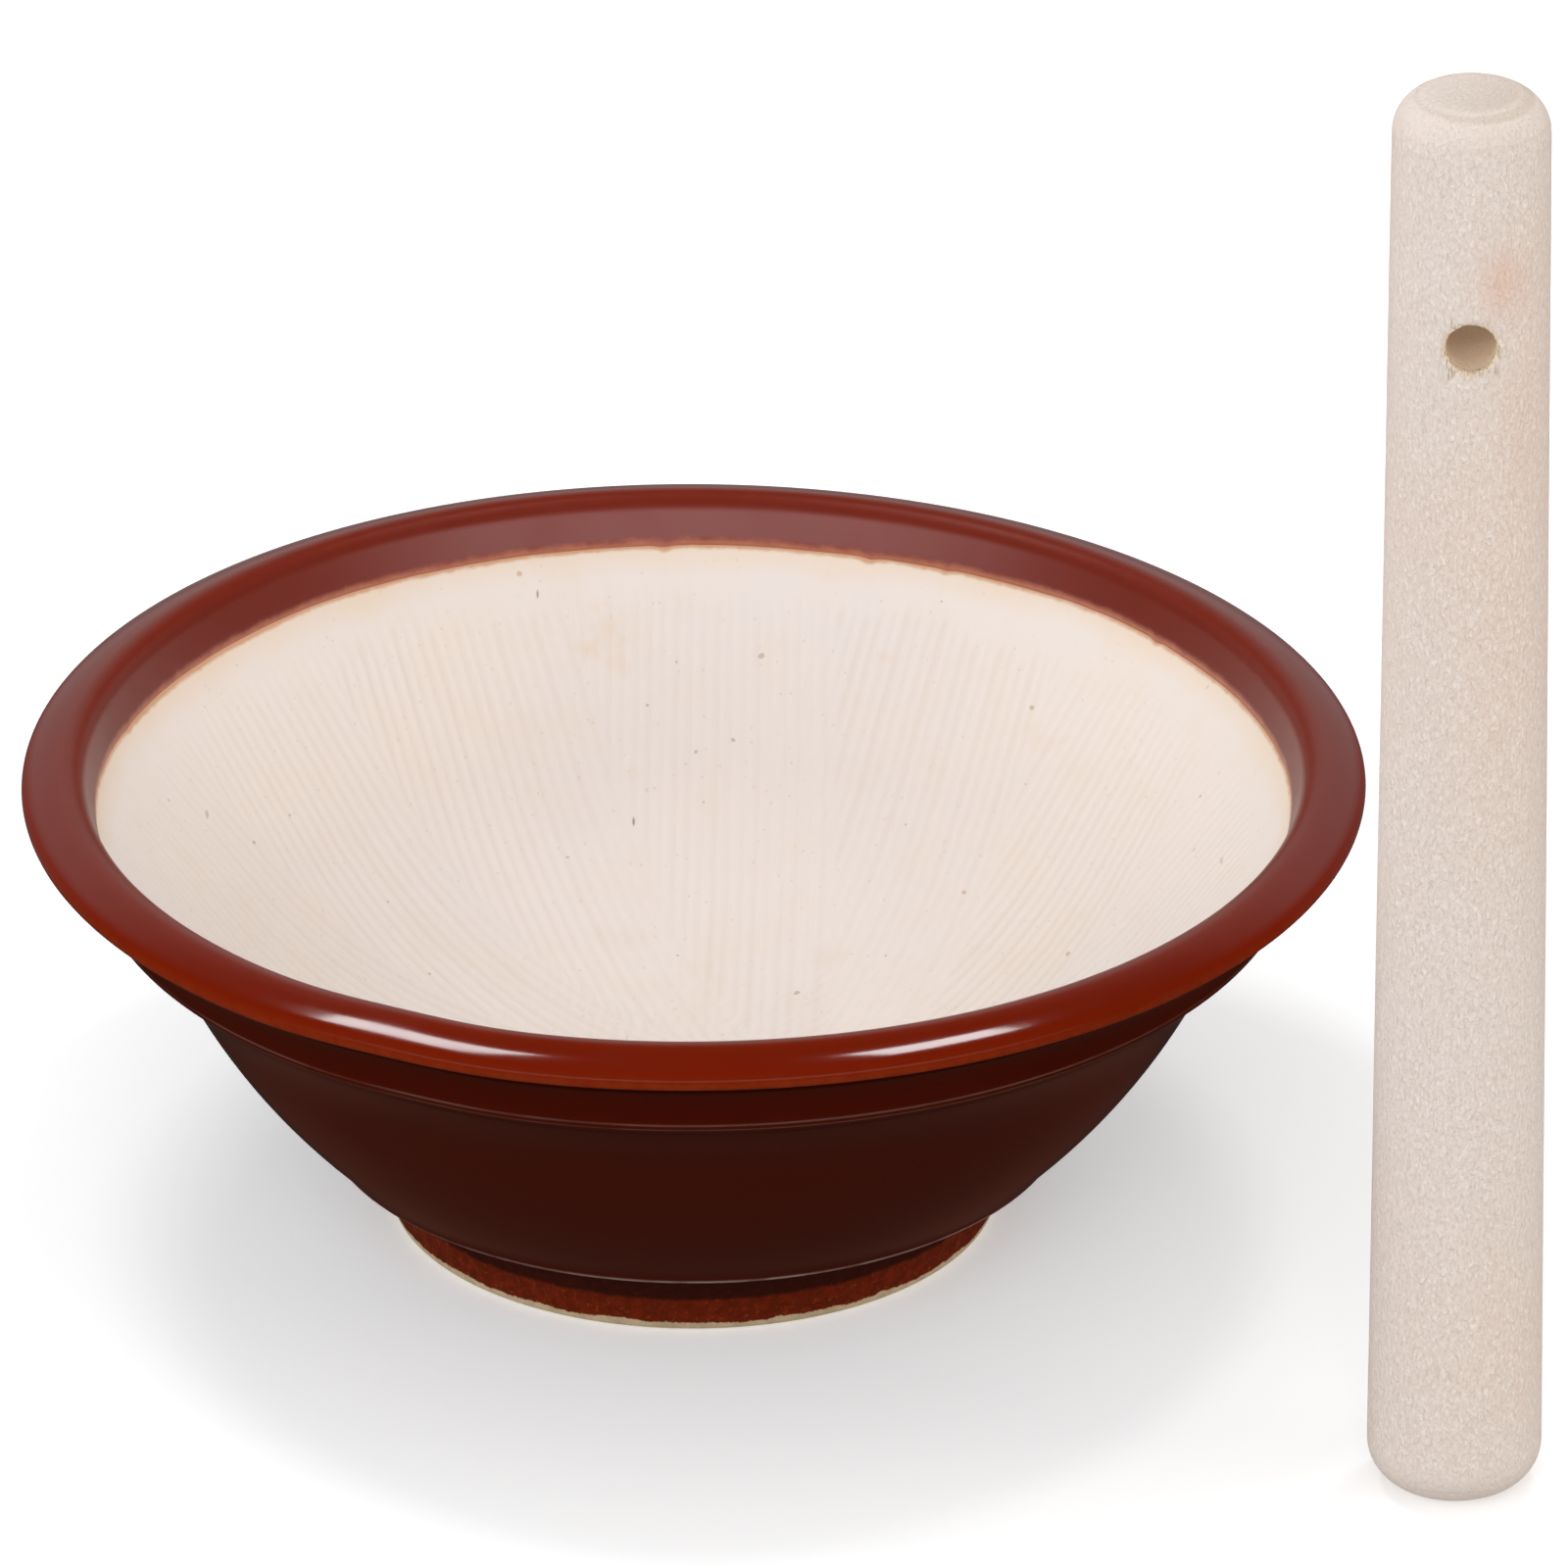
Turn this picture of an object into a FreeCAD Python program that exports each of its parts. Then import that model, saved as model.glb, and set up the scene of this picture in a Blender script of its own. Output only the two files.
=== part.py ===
import FreeCAD, Part
import math
import os

import Sketcher

# A stoneware grinding bowl with a glazed lip and outside, and its wooden pestle.
# Millimetres, +Z up. The origin is on the floor under the middle of the bowl's foot.

# Driving sizes. The bowl's outline is a chain of corners, each a radius (_r) from the
# bowl's axis and a height (_z) above the floor, joined by straight lines or by arcs.
SIZES = {
    # inside of the bowl, from the middle of its floor to the line where the glaze starts
    "floor_z": 13.0,
    "floor_flat_r": 15.0,
    "wall_foot_r": 72.5,
    "wall_foot_z": 40.0,
    "well_curve": 74.7,
    "glaze_top_r": 95.6,
    "glaze_top_z": 69.6,
    # lip, measured on the clay under the glaze
    "lip_inner_r": 97.45,
    "lip_inner_z": 74.93,
    "crest_r": 101.44,
    "crest_z": 77.06,
    "crest_curve": 3.2,
    "nose_top_r": 106.55,
    "nose_top_z": 74.97,
    "lip_top_curve": 17.6,
    "nose_low_r": 106.2,
    "nose_low_z": 72.66,
    "nose_curve": 1.3,
    # collar under the lip and the outside of the body
    "collar_top_r": 95.85,
    "collar_top_z": 60.72,
    "cove_curve": 15.95,
    "collar_low_r": 95.4,
    "collar_low_z": 60.0,
    "collar_curve": 1.2,
    "waist_r": 81.8,
    "waist_z": 44.0,
    "waist_curve": 48.9,
    "glaze_end_r": 56.7,
    "glaze_end_z": 12.7,
    "body_curve": 105.0,
    # foot ring
    "foot_top_r": 49.6,
    "foot_top_z": 5.8,
    "foot_cove_curve": 7.0,
    "foot_wall_r": 48.8,
    "foot_wall_z": 1.0,
    "foot_tread_outer_r": 47.8,
    "foot_edge_curve": 1.0,
    "foot_tread_inner_r": 41.0,
    "recess_r": 39.5,
    "recess_z": 5.0,
    # glaze coat
    "coat": 0.4,
    # pestle, standing on its thicker working end
    "pestle_length": 240.0,
    "pestle_low_flat_r": 5.5,
    "pestle_low_r": 13.9,
    "pestle_low_z": 8.0,
    "pestle_low_curve": 8.5,
    "pestle_high_flat_r": 5.8,
    "pestle_high_r": 12.35,
    "pestle_high_z": 233.5,
    "pestle_high_curve": 6.6,
    "hanging_hole_d": 8.0,
    "hanging_hole_z": 202.0,
    "pestle_x": 120.0,
    "pestle_y": -98.0,
}

# Corners of the lip and outside, in order, and the arc that ends at each corner:
# (corner, curve cell, side), where side +1 turns the outline left and -1 right.
GLAZED_LINE = [
    ("glaze_top", None, 0),
    ("lip_inner", None, 0),
    ("crest", "crest_curve", -1),
    ("nose_top", "lip_top_curve", -1),
    ("nose_low", "nose_curve", -1),
    ("collar_top", "cove_curve", 1),
    ("collar_low", "collar_curve", -1),
    ("waist", "waist_curve", 1),
    ("glaze_end", "body_curve", -1),
]


def make_sheet(doc):
    """The spreadsheet of driving sizes, one alias per size."""
    sheet = doc.addObject("Spreadsheet::Sheet", "Sizes")
    for row, (alias, value) in enumerate(SIZES.items(), start=1):
        sheet.set(f"A{row}", alias)
        sheet.set(f"B{row}", str(value))
        sheet.setAlias(f"B{row}", alias)
    doc.recompute()
    return sheet


def plane(body, role):
    """One of the body's own origin planes, by its role."""
    for feature in body.Origin.OriginFeatures:
        if feature.Role == role:
            return feature
    raise RuntimeError(f"{body.Label} has no {role}")


def corner(name):
    """A corner whose radius and height both have cells."""
    return (f"{name}_r", f"{name}_z")


def cell_value(sheet, cell):
    """A cell's number; None stands for zero."""
    return 0.0 if cell is None else float(getattr(sheet, cell))


def arc_between(start, end, radius, side):
    """The minor arc from start to end; side +1 puts its centre on the left of the way."""
    chord = end - start
    half = chord.Length / 2
    reach = math.sqrt(radius * radius - half * half)
    left = FreeCAD.Vector(-chord.y, chord.x, 0).normalize()
    centre = (start + end) / 2 + left * (reach * side)
    first, last = (start, end) if side > 0 else (end, start)
    angle_1 = math.atan2(first.y - centre.y, first.x - centre.x)
    angle_2 = math.atan2(last.y - centre.y, last.x - centre.x)
    circle = Part.Circle(centre, FreeCAD.Vector(0, 0, 1), radius)
    return Part.ArcOfCircle(circle, angle_1, angle_2)


def bind(sketch, constraint, cell):
    """Add a dimension to the sketch and tie it to a cell of the sheet."""
    index = sketch.addConstraint(constraint)
    sketch.setExpression(f"Constraints[{index}]", f"Sizes.{cell}")


def draw_outline(sheet, sketch, corners, closed):
    """Draw a chain of corners, [((radius cell, height cell), curve cell, side), ...].

    A cell of None is zero and pins the corner to the axis or to the floor. Each curve
    belongs to the stretch that ends at its corner.
    """
    places = [
        FreeCAD.Vector(cell_value(sheet, across), cell_value(sheet, up), 0)
        for (across, up), _, _ in corners
    ]
    count = len(corners)
    ends = []
    for index in range(0 if closed else 1, count):
        start, end = places[index - 1], places[index]
        _, curve, side = corners[index]
        if curve is None:
            geometry = sketch.addGeometry(Part.LineSegment(start, end), False)
            ends.append((geometry, 1, 2))
        else:
            radius = cell_value(sheet, curve)
            geometry = sketch.addGeometry(arc_between(start, end, radius, side), False)
            ends.append((geometry, 1, 2) if side > 0 else (geometry, 2, 1))
    for index in range(0 if closed else 1, len(ends)):
        before, _, out_of = ends[index - 1]
        after, into, _ = ends[index]
        sketch.addConstraint(Sketcher.Constraint("Coincident", before, out_of, after, into))
    first = 0 if closed else 1
    for index, ((across, up), curve, _) in enumerate(corners):
        if index >= first:
            geometry, _, point = ends[index - first]
        else:
            geometry, point, _ = ends[0]
        if across is None:
            sketch.addConstraint(Sketcher.Constraint("PointOnObject", geometry, point, -2))
        else:
            across_size = Sketcher.Constraint("DistanceX", -1, 1, geometry, point, places[index].x)
            bind(sketch, across_size, across)
        if up is None:
            sketch.addConstraint(Sketcher.Constraint("PointOnObject", geometry, point, -1))
        else:
            up_size = Sketcher.Constraint("DistanceY", -1, 1, geometry, point, places[index].y)
            bind(sketch, up_size, up)
        if curve is not None:
            bind(sketch, Sketcher.Constraint("Radius", geometry, cell_value(sheet, curve)), curve)


def make_body(doc, label):
    """An empty body whose name and label are the sub-part's name."""
    body = doc.addObject("PartDesign::Body", label)
    body.Label = label
    return body


def turned(doc, sheet, body, corners):
    """Turn a closed outline a full turn about the body's own Z axis."""
    sketch = body.newObject("Sketcher::SketchObject", f"{body.Name}_outline")
    sketch.AttachmentSupport = [(plane(body, "XZ_Plane"), "")]
    sketch.MapMode = "FlatFace"
    draw_outline(sheet, sketch, corners, True)
    doc.recompute()
    revolution = body.newObject("PartDesign::Revolution", f"{body.Name}_turned")
    revolution.Profile = sketch
    revolution.ReferenceAxis = (sketch, ["V_Axis"])
    revolution.Angle = 360.0
    sketch.Visibility = False
    doc.recompute()
    return revolution


def make_mortar_bowl(doc, sheet):
    """The clay: the inside, then the glazed line, then the foot ring and its recess."""
    glazed = [(corner(name), curve, side) for name, curve, side in GLAZED_LINE]
    body = make_body(doc, "mortar_bowl")
    corners = [
        ((None, "floor_z"), None, 0),
        (("floor_flat_r", "floor_z"), None, 0),
        (corner("wall_foot"), "well_curve", 1),
        *glazed,
        (corner("foot_top"), "foot_cove_curve", 1),
        (corner("foot_wall"), None, 0),
        (("foot_tread_outer_r", None), "foot_edge_curve", -1),
        (("foot_tread_inner_r", None), None, 0),
        (corner("recess"), None, 0),
        ((None, "recess_z"), None, 0),
    ]
    turned(doc, sheet, body, corners)
    return body


def make_mortar_glaze(doc, sheet):
    """The glaze: the glazed line, thickened outwards by the coat and turned."""
    line = doc.addObject("Sketcher::SketchObject", "glazed_line")
    upright = FreeCAD.Rotation(FreeCAD.Vector(1, 0, 0), 90)
    line.Placement = FreeCAD.Placement(FreeCAD.Vector(0, 0, 0), upright)
    corners = [(corner(name), curve, side) for name, curve, side in GLAZED_LINE]
    draw_outline(sheet, line, corners, False)
    doc.recompute()
    band = doc.addObject("Part::Offset2D", "glaze_section")
    band.Source = line
    band.Mode = "Skin"
    band.Join = "Intersection"
    band.Fill = True
    band.setExpression("Value", "Sizes.coat")
    doc.recompute()
    glaze = doc.addObject("Part::Revolution", "mortar_glaze")
    glaze.Label = "mortar_glaze"
    glaze.Source = band
    glaze.Axis = FreeCAD.Vector(0, 0, 1)
    glaze.Angle = 360.0
    glaze.Solid = True
    doc.recompute()
    return glaze


def make_pestle(doc, sheet):
    """The pestle: a tapered stick with rounded ends and a hole drilled through it."""
    body = make_body(doc, "pestle")
    corners = [
        ((None, None), None, 0),
        (("pestle_low_flat_r", None), None, 0),
        (corner("pestle_low"), "pestle_low_curve", 1),
        (corner("pestle_high"), None, 0),
        (("pestle_high_flat_r", "pestle_length"), "pestle_high_curve", 1),
        ((None, "pestle_length"), None, 0),
    ]
    stick = turned(doc, sheet, body, corners)
    whole = stick.Shape.Volume

    drill = body.newObject("Sketcher::SketchObject", "hanging_hole_circle")
    drill.AttachmentSupport = [(plane(body, "XZ_Plane"), "")]
    drill.MapMode = "FlatFace"
    height = cell_value(sheet, "hanging_hole_z")
    diameter = cell_value(sheet, "hanging_hole_d")
    centre = FreeCAD.Vector(0, height, 0)
    circle = drill.addGeometry(Part.Circle(centre, FreeCAD.Vector(0, 0, 1), diameter / 2), False)
    drill.addConstraint(Sketcher.Constraint("PointOnObject", circle, 3, -2))
    bind(drill, Sketcher.Constraint("DistanceY", -1, 1, circle, 3, height), "hanging_hole_z")
    bind(drill, Sketcher.Constraint("Diameter", circle, diameter), "hanging_hole_d")
    doc.recompute()

    hole = body.newObject("PartDesign::Pocket", "hanging_hole")
    hole.Profile = drill
    hole.Type = "ThroughAll"
    hole.Midplane = True
    drill.Visibility = False
    doc.recompute()
    if body.Shape.Volume > whole - math.pi * (diameter / 2) ** 2 * 20:
        raise RuntimeError("the hanging hole does not go through the pestle")

    body.setExpression("Placement.Base.x", "Sizes.pestle_x")
    body.setExpression("Placement.Base.y", "Sizes.pestle_y")
    doc.recompute()
    return body


def check(doc, pieces):
    """Stop before anything is written if an object failed or a piece is not one solid."""
    for item in doc.Objects:
        if "Invalid" in item.State or "Error" in item.State:
            raise RuntimeError(f"{item.Label} failed: {item.State}")
    for piece in pieces:
        shape = piece.Shape
        if shape.isNull() or not shape.isValid() or len(shape.Solids) != 1:
            raise RuntimeError(f"{piece.Label} is not one valid solid")


def main():
    doc = FreeCAD.newDocument("mortar_and_pestle")
    sheet = make_sheet(doc)
    pieces = [
        make_mortar_bowl(doc, sheet),
        make_mortar_glaze(doc, sheet),
        make_pestle(doc, sheet),
    ]
    doc.recompute()
    check(doc, pieces)
    os.makedirs("parts", exist_ok=True)
    for piece in pieces:
        piece.Shape.exportStep(os.path.join("parts", f"{piece.Label}.step"))
        box = piece.Shape.optimalBoundingBox()
        print(
            f"{piece.Label}: {piece.Shape.Volume / 1000:.1f} cm3, "
            f"{box.XLength:.1f} x {box.YLength:.1f} x {box.ZLength:.1f} mm"
        )


main()
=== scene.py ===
import math

import bmesh
import bpy
import numpy as np
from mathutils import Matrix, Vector


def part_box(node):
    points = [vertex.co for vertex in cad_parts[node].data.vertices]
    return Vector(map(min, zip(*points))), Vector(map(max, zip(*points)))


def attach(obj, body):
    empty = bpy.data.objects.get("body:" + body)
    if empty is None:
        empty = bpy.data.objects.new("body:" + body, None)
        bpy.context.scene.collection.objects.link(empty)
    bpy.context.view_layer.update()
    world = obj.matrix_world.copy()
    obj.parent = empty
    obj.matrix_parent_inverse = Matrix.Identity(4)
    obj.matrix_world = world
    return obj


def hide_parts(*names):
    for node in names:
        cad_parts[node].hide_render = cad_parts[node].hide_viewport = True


bl_info = {
    "name": "Grinding Bowl and Pestle",
    "version": (1, 0, 0),
    "blender": (4, 5, 0),
    "location": "View3D > Sidebar > Grinding Bowl",
    "description": "Throws and combs a stoneware grinding bowl, glazes it and turns its wooden pestle",
    "category": "Add Mesh",
}

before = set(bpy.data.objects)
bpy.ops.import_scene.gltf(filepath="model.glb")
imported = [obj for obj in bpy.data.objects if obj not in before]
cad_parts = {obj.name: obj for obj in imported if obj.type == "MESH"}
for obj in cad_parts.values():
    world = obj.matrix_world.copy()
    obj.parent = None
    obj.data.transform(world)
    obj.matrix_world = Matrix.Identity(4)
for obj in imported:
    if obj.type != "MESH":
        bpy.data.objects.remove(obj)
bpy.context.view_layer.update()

MM = 0.001
FULL_TURN = 2 * math.pi

# The bowl's clay section, from the middle of the floor out over the lip and down to the foot.
# Each row is radius, height, the radius of the arc that ends there (0 is a straight run) and
# the side it bends to; all in millimetres.
CLAY_INSIDE = [
    (0, 13, 0, 0),
    (15, 13, 0, 0),
    (72.5, 40, 74.7, 1),
    (95.6, 69.6, 0, 0),
]
CLAY_OUTSIDE = [
    (95.6, 69.6, 0, 0),
    (97.45, 74.93, 0, 0),
    (101.44, 77.06, 3.2, -1),
    (106.55, 74.97, 17.6, -1),
    (106.2, 72.66, 1.3, -1),
    (95.85, 60.72, 15.95, 1),
    (95.4, 60.0, 1.2, -1),
    (81.8, 44.0, 48.9, 1),
    (56.7, 12.7, 105, -1),
]
CLAY_FOOT = [
    (56.7, 12.7, 0, 0),
    (49.6, 5.8, 7, 1),
    (48.8, 1.0, 0, 0),
    (47.8, 0, 1, -1),
    (41, 0, 0, 0),
    (39.5, 5, 0, 0),
    (0, 5, 0, 0),
]
# Where the clay's back takes over from its combed wall, hidden under the glaze.
CLAY_JOIN = (96.2, 71.33)
# How far apart the rows of corners lie along each run of a section, in millimetres.
INSIDE_STEPS = [0.8, 0.8, 3]
WALL_STEPS = [2.15, 2.2, 1.8]
BACK_STEPS = [2.4, 1.6, 2.8, 1.3, 3.6, 1.2, 4.5, 4.5]
FOOT_STEPS = [1.0, 1.2, 0.3, 2, 1, 8]
GLAZE_STEPS = [0.75, 0.45, 0.6, 0.25, 1.7, 0.3, 2.6, 2.6]
PESTLE_STEPS = [1.2, 0.7, 2.2, 0.6, 1.2]
BEAD_ROWS = (0.17, 0.34, 0.5, 0.64, 0.77, 0.89, 1.0)
WELL_RADIUS = 30
COARSE_FACETS, COMBED_FACETS, GLAZE_FACETS, PESTLE_FACETS = 360, 1440, 720, 132
# The glaze: how far its inner edge takes to reach full thickness, and the roll near its end.
EDGE_ROLL, END_ROLL = 1.6, 0.9
BEAD_AT, BEAD_RISE, BEAD_WIDTH = 3.4, 0.55, 1.15
UNDER_GLAZE = 0.12
# Places on the glaze's section that its finish follows: radius and height.
GLAZE_PLACES = {"crest": (99.5, 77.0), "nose": (107.0, 73.2), "ridge": (95.8, 60.5)}
# The turned pestle's section from the middle of its lower end to the middle of its top.
PESTLE_SECTION = [
    (0, 0, 0, 0),
    (8.0, 0, 0, 0),
    (13.9, 7.6, 7.4, 1),
    (12.35, 233.5, 0, 0),
    (5.8, 240, 6.6, 1),
    (0, 240, 0, 0),
]
SIDE_FOOT, SIDE_TOP = (13.9 * MM, 8 * MM), (12.35 * MM, 233.5 * MM)
HOLE_HEIGHT = 202 * MM
SKIN_SIZE = 0.55 * MM
# Pinkish patches on the front of the wood: across, height, half width, half height, strength.
PEACH_PATCHES = [
    (4.8 * MM, 213 * MM, 3.9 * MM, 5.4 * MM, 1.0),
    (8 * MM, 188 * MM, 3 * MM, 12 * MM, 0.3),
]
# The studio's lamps: name, the point lit, direction, distance, size, watts, colour, mirrored.
WHITE = (1, 1, 1)
LAMPS = [
    ("softbox_left", (0, 0, 0.07), (-0.317, 0.266, 0.905), 1.5, (0.26, 0.44), 4.4, WHITE, True),
    ("softbox_right", (0, 0, 0.07), (0.27, 0.23, 0.93), 1.5, (0.20, 0.28), 2.3, WHITE, True),
    ("fill_front", (0.03, 0, 0.10), (-0.12, -0.86, 0.50), 2.2, (1.3, 1.0), 14, WHITE, False),
    ("fill_left", (0.03, 0, 0.06), (-0.92, -0.30, 0.05), 1.8, (0.9, 0.9), 9.8, (0.87, 0.94, 1), False),
    ("fill_right", (0.03, 0, 0.06), (0.92, -0.30, 0.05), 1.8, (0.9, 0.9), 9, (1, 0.92, 0.83), False),
]
AIM = (0.0145, 0, 0.0730)
SENSOR = 36
LENS_PER_METRE = 143.72


# ---------------------------------------------------------------- settings a user would change


class ClaySettings(bpy.types.PropertyGroup):
    strokes: bpy.props.IntProperty(
        name="Comb strokes", description="How many times the comb is pulled up the wall",
        default=13, min=6, max=24)
    teeth: bpy.props.IntProperty(
        name="Comb teeth", description="Grooves that one stroke of the comb cuts", default=20, min=4, max=40)
    pitch: bpy.props.FloatProperty(
        name="Groove pitch", description="Distance from one groove to the next",
        default=2.2 * MM, min=0.001, max=0.006, unit="LENGTH", precision=4)
    depth: bpy.props.FloatProperty(
        name="Groove depth", description="How deep the comb bites into the clay",
        default=0.30 * MM, min=0.0, max=0.001, unit="LENGTH", precision=5)
    cream: bpy.props.FloatVectorProperty(
        name="Cream clay", description="Colour of the bare combed clay inside",
        default=(0.815, 0.728, 0.668), subtype="COLOR", min=0, max=1, size=3)
    foot_wash: bpy.props.FloatVectorProperty(
        name="Foot wash", description="Colour of the iron wash on the foot",
        default=(0.088, 0.0090, 0.0016), subtype="COLOR", min=0, max=1, size=3)
    tread: bpy.props.FloatVectorProperty(
        name="Bare foot clay", description="Colour of the fired clay where the foot is wiped clean",
        default=(0.46, 0.34, 0.21), subtype="COLOR", min=0, max=1, size=3)


class GlazeSettings(bpy.types.PropertyGroup):
    coat: bpy.props.FloatProperty(
        name="Glaze thickness", description="How thick the glaze lies on the clay",
        default=0.38 * MM, min=0.0001, max=0.001, unit="LENGTH", precision=5)
    # The thick glaze's darker brown on the body is partly painted shade for the downturned body.
    brown: bpy.props.FloatVectorProperty(
        name="Thick glaze", description="Colour where the glaze lies thick",
        default=(0.050, 0.0044, 0.0012), subtype="COLOR", min=0, max=1, size=3)
    red: bpy.props.FloatVectorProperty(
        name="Lip glaze", description="Colour of the glaze on the lip",
        default=(0.148, 0.0090, 0.0013), subtype="COLOR", min=0, max=1, size=3)
    amber: bpy.props.FloatVectorProperty(
        name="Thin glaze", description="Colour where the glaze has run thin over an edge",
        default=(0.34, 0.050, 0.012), subtype="COLOR", min=0, max=1, size=3)


class PestleSettings(bpy.types.PropertyGroup):
    hole: bpy.props.FloatProperty(
        name="Hanging hole", description="Diameter of the hole for the hanging cord",
        default=8 * MM, min=0.002, max=0.012, unit="LENGTH", precision=4)
    wood: bpy.props.FloatVectorProperty(
        name="Pale wood", description="Colour of the sanded wood",
        default=(0.825, 0.722, 0.655), subtype="COLOR", min=0, max=1, size=3)


class StageSettings(bpy.types.PropertyGroup):
    tilt: bpy.props.FloatProperty(
        name="Camera height angle", description="How far above level the camera looks down",
        default=math.radians(26.37), min=0, max=math.radians(90), subtype="ANGLE")
    distance: bpy.props.FloatProperty(
        name="Camera distance", description="From the camera to the bowl",
        default=4.0, min=0.5, max=10, unit="LENGTH")
    floor: bpy.props.FloatVectorProperty(
        name="Floor", description="Colour of the studio floor",
        default=(0.94, 0.94, 0.94), subtype="COLOR", min=0, max=1, size=3)


# ---------------------------------------------------------------- shaping by hand


def put_down():
    """Leaves edit mode and lets go of everything."""
    held = bpy.context.view_layer.objects.active
    if held and held.mode != "OBJECT":
        bpy.ops.object.mode_set(mode="OBJECT")
    bpy.ops.object.select_all(action="DESELECT")


def take_up(piece):
    put_down()
    piece.select_set(True)
    bpy.context.view_layer.objects.active = piece


def arc_points(start, end, radius, side, step):
    """Points after start up to end, along a run or along an arc of that radius."""
    (r0, z0), (r1, z1) = start, end
    chord = math.hypot(r1 - r0, z1 - z0)
    if not radius:
        count = max(1, round(chord / step))
        return [(r0 + (r1 - r0) * k / count, z0 + (z1 - z0) * k / count) for k in range(1, count + 1)]
    half = math.asin(min(1, chord / 2 / radius))
    reach = radius * math.cos(half) * side
    middle = ((r0 + r1) / 2 - (z1 - z0) / chord * reach, (z0 + z1) / 2 + (r1 - r0) / chord * reach)
    first = math.atan2(z0 - middle[1], r0 - middle[0])
    sweep = 2 * half * side
    count = max(4 if radius < 10 else 3, round(radius * 2 * half / step))
    return [
        (middle[0] + radius * math.cos(first + sweep * k / count),
         middle[1] + radius * math.sin(first + sweep * k / count))
        for k in range(1, count + 1)
    ]


def section(corners, steps):
    """The section's points, one step size for each run between its corners."""
    points = [tuple(corners[0][:2])]
    for (corner, step) in zip(corners[1:], steps):
        points += arc_points(points[-1], corner[:2], corner[2], corner[3], step)
    return points


def draw_section(name, points):
    """Draws a section in the front plane by pulling one point along it, in millimetres."""
    put_down()
    bpy.ops.mesh.primitive_plane_add(size=MM, location=(0, 0, 0))
    piece = bpy.context.object
    piece.name = piece.data.name = name
    bpy.ops.object.mode_set(mode="EDIT")
    bpy.ops.mesh.select_mode(type="VERT")
    bpy.ops.mesh.select_all(action="SELECT")
    bpy.ops.mesh.merge(type="CENTER")
    bpy.ops.transform.translate(value=(points[0][0] * MM, 0, points[0][1] * MM))
    for here, there in zip(points, points[1:]):
        bpy.ops.mesh.extrude_region_move(
            TRANSFORM_OT_translate={
                "value": ((there[0] - here[0]) * MM, 0, (there[1] - here[1]) * MM)})
    bpy.ops.mesh.select_all(action="SELECT")
    return piece


def throw(name, points, facets, wedges=12):
    """Turns a section round the bowl's axis: one wedge is spun, then copied right round."""
    piece = draw_section(name, points)
    wedge = FULL_TURN / wedges
    bpy.ops.mesh.spin(steps=facets // wedges, angle=wedge, center=(0, 0, 0), axis=(0, 0, 1))
    bpy.ops.mesh.select_all(action="SELECT")
    bpy.ops.mesh.spin(
        steps=wedges - 1, dupli=True, angle=FULL_TURN - wedge, center=(0, 0, 0), axis=(0, 0, 1))
    bpy.ops.mesh.select_all(action="SELECT")
    bpy.ops.mesh.remove_doubles(threshold=0.002 * MM)
    bpy.ops.object.mode_set(mode="OBJECT")
    return piece


def face_outwards(piece):
    take_up(piece)
    bpy.ops.object.mode_set(mode="EDIT")
    bpy.ops.mesh.select_all(action="SELECT")
    bpy.ops.mesh.normals_make_consistent(inside=False)
    bpy.ops.object.mode_set(mode="OBJECT")
    bpy.ops.object.shade_smooth()


def corners_of(piece):
    co = np.empty(len(piece.data.vertices) * 3)
    piece.data.vertices.foreach_get("co", co)
    return co.reshape(-1, 3)


def set_corners(piece, co):
    piece.data.vertices.foreach_set("co", np.ascontiguousarray(co).ravel())
    piece.data.update()


def mark(piece, name, values):
    """Keeps one number for each corner of the mesh, for its material to read."""
    layer = piece.data.attributes.new(name, "FLOAT", "POINT")
    layer.data.foreach_set("value", np.ascontiguousarray(values, dtype=np.float32))


def smoothstep(low, high, x):
    t = np.clip((x - low) / (high - low), 0, 1)
    return t * t * (3 - 2 * t)


def ripple(angle, seed, waves):
    """A line that closes on itself round the bowl, from (times round, size) waves."""
    rng = np.random.default_rng(seed)
    out = np.zeros_like(angle)
    for times, size in waves:
        out += size * np.sin(times * angle + rng.uniform(0, FULL_TURN))
    return out


def thrown_unevenness(co):
    """The slight wobble of a bowl made on a wheel; it never reaches past the true circle."""
    angle = np.arctan2(co[:, 1], co[:, 0])
    radius = np.hypot(co[:, 0], co[:, 1])
    high = np.clip(co[:, 2] / (77 * MM), 0, 1)
    swing = (np.sin(2 * angle + 0.7) + 0.6 * np.sin(3 * angle + 2.1) - 1.6) * 0.14 * MM
    drop = (np.sin(2 * angle + 2.9) + 0.7 * np.sin(3 * angle + 0.4) - 1.7) * 0.16 * MM
    drop += 0.45 * MM * np.exp(-(((angle - math.radians(-118)) / 0.13) ** 2))
    scale = 1 + swing * high / np.maximum(radius, 1 * MM)
    out = co.copy()
    out[:, 0] *= scale
    out[:, 1] *= scale
    out[:, 2] += drop * high ** 2
    return out


# ---------------------------------------------------------------- materials


def tinted(colour, red, green, blue):
    return tuple(min(1, c * k) for c, k in zip(colour, (red, green, blue)))


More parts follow.
